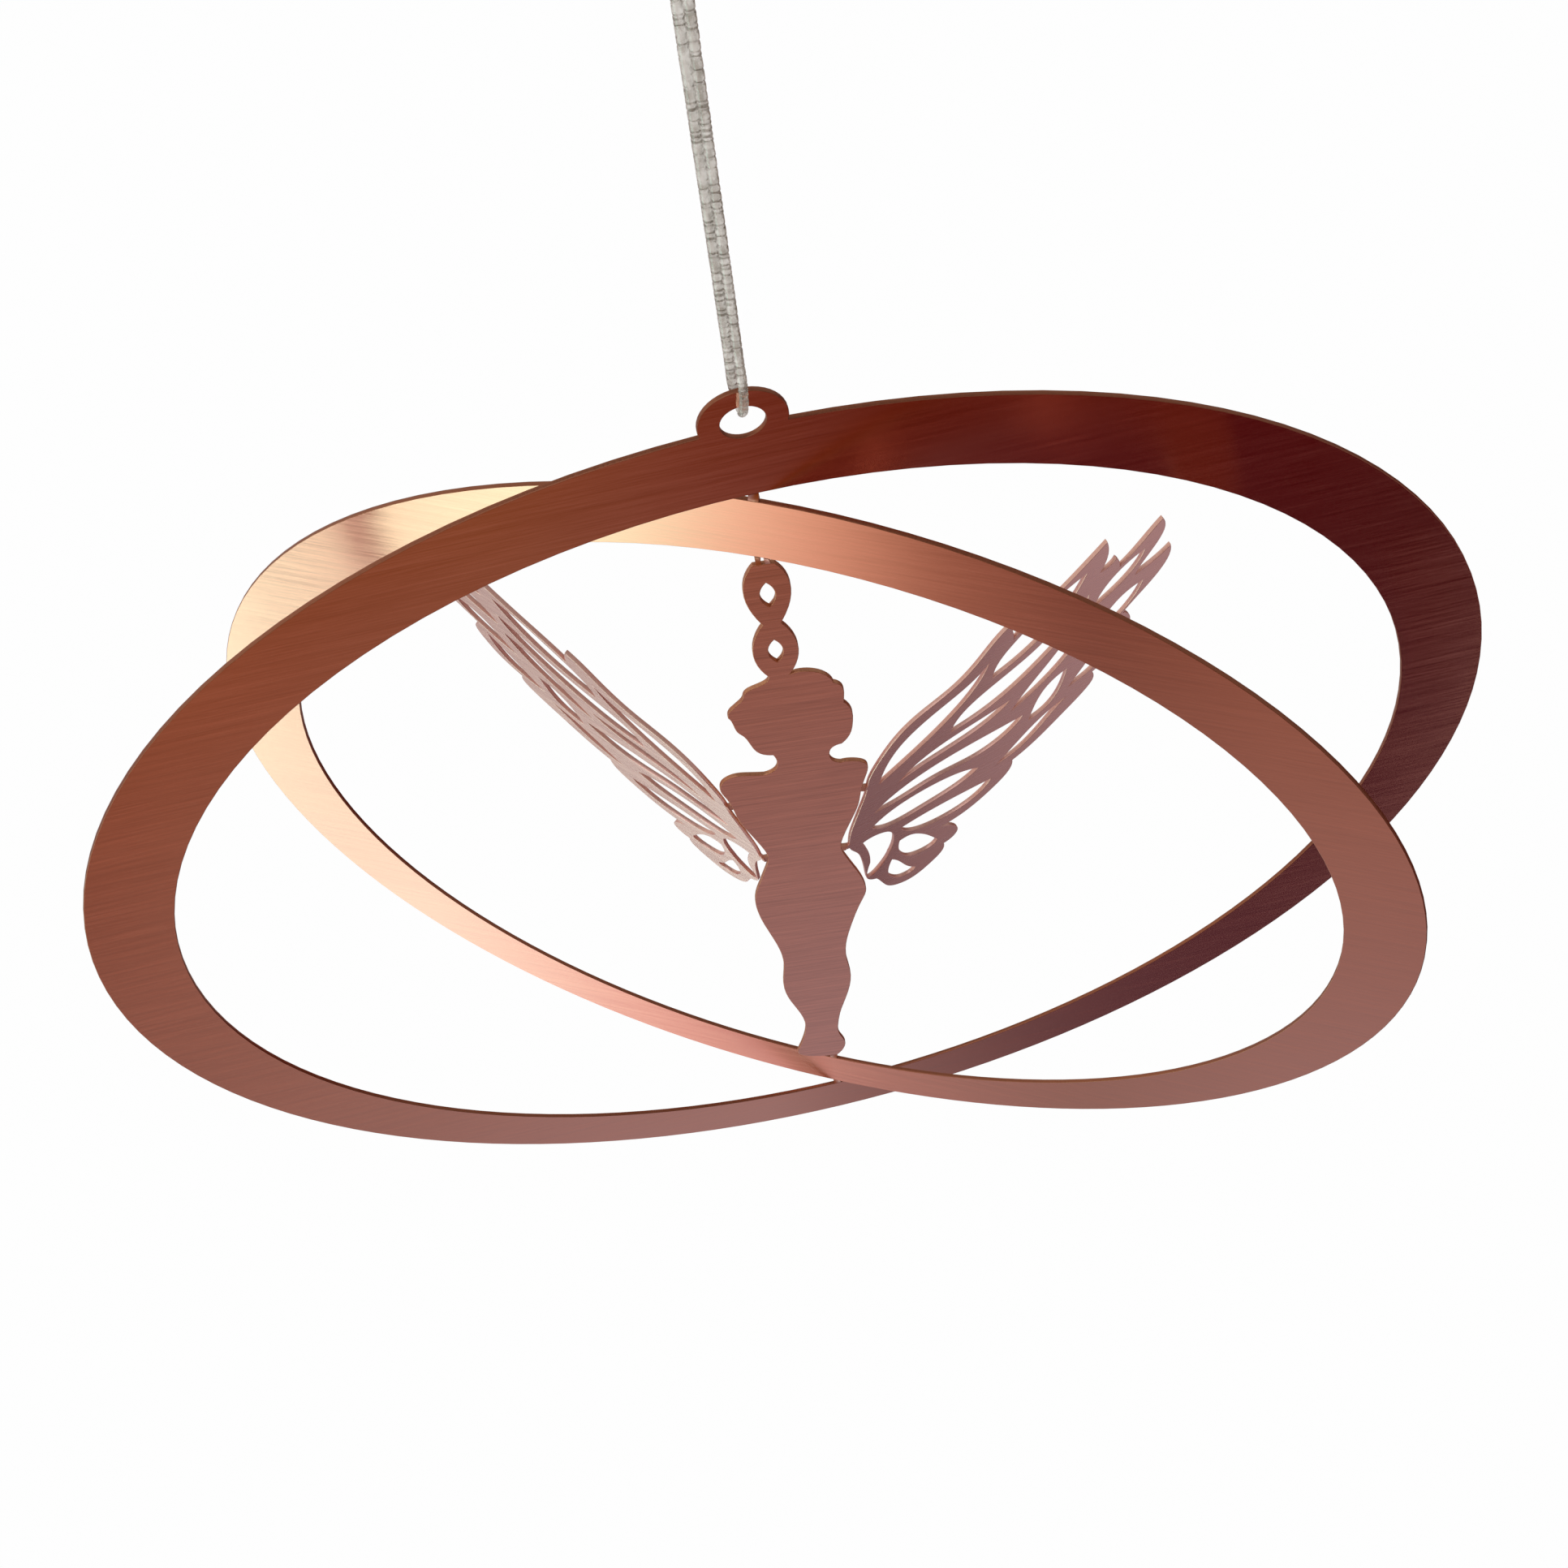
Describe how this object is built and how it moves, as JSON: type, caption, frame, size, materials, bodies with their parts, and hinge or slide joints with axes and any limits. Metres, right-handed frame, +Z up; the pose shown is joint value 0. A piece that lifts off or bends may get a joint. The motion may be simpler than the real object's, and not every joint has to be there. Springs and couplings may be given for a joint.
{
  "type": "wind spinner",
  "caption": "Hanging wind spinner of thin brushed sheet: nested turning rings around a winged figure with openwork wings, on a doubled cord with a swivel and a wire hook.",
  "frame": {"origin": "saddle of the hook: the lowest point of the underside of its open bend, where it bears on its support", "axes": "+Z up along the hanging axis; -Y towards the front of the figure; +X to the figure's right side as seen from the front"},
  "size_m": [0.1642, 0.0536, 0.2614],
  "materials": {
    "rings": "brushed sheet with a copper-coloured coating, fine straight grain, satin",
    "figure": "brushed sheet with a rosier copper-coloured coating, satin",
    "wings": "brushed sheet with a pale rosy copper-coloured coating, satin",
    "tabs": "the same coated sheet, twisted or bent",
    "cord": "clear doubled line with an uneven, ribbed surface",
    "sleeve": "plain crimped sleeve",
    "swivel": "small bright swivel",
    "hook": "round wire, lightly polished"
  },
  "bodies": {
    "hanger": {"s_hook": "hook"},
    "swivel_top": {"swivel_upper_eye": "swivel"},
    "barrel": {"swivel_barrel": "swivel"},
    "cord_drop": {"swivel_lower_eye": "swivel", "cord_sleeve": "sleeve", "hanging_cord": "cord"},
    "outer": {"outer_ring": "rings", "ring_tab_top": "tabs", "ring_tab_bottom": "tabs"},
    "inner": {"inner_ring": "rings"},
    "figure_body": {"figure": "figure", "link_tabs": "tabs", "foot_tab": "tabs", "right_armpit_tab": "tabs", "right_waist_tab": "tabs", "left_armpit_tab": "tabs", "left_waist_tab": "tabs"},
    "right_wing": {"right_wing": "wings"},
    "left_wing": {"left_wing": "wings"}
  },
  "joints": [
    {"name": "hook_swing", "type": "hinge", "parent": "hanger", "child": "swivel_top", "pos_m": [0, 0, -0.0203], "axis": [1, 0, 0], "range_deg": [-70, 70]},
    {"name": "upper_swivel_turn", "type": "hinge", "parent": "swivel_top", "child": "barrel", "pos_m": [0, 0, -0.027], "axis": [0, 0, 1], "continuous": true},
    {"name": "lower_swivel_turn", "type": "hinge", "parent": "barrel", "child": "cord_drop", "pos_m": [0, 0, -0.027], "axis": [0, 0, 1], "continuous": true},
    {"name": "ring_rock", "type": "hinge", "parent": "cord_drop", "child": "outer", "pos_m": [0, 0, -0.09276], "axis": [-0.0976, 0.9952, 0], "range_deg": [-35, 35]},
    {"name": "inner_ring_turn", "type": "hinge", "parent": "outer", "child": "inner", "pos_m": [0, 0, -0.1775], "axis": [0, 0, 1], "range_deg": [-62.7, 117.3]},
    {"name": "figure_turn", "type": "hinge", "parent": "inner", "child": "figure_body", "pos_m": [0, 0, -0.1775], "axis": [0, 0, 1], "range_deg": [-111.7, 68.3]},
    {"name": "right_wing_bend", "type": "hinge", "parent": "figure_body", "child": "right_wing", "pos_m": [0.00485, 0, -0.17585], "axis": [0.2098, 0, 0.9777], "range_deg": [-21, 65]},
    {"name": "left_wing_bend", "type": "hinge", "parent": "figure_body", "child": "left_wing", "pos_m": [-0.00485, 0, -0.17585], "axis": [0.2098, 0, -0.9777], "range_deg": [-44, 42]}
  ]
}
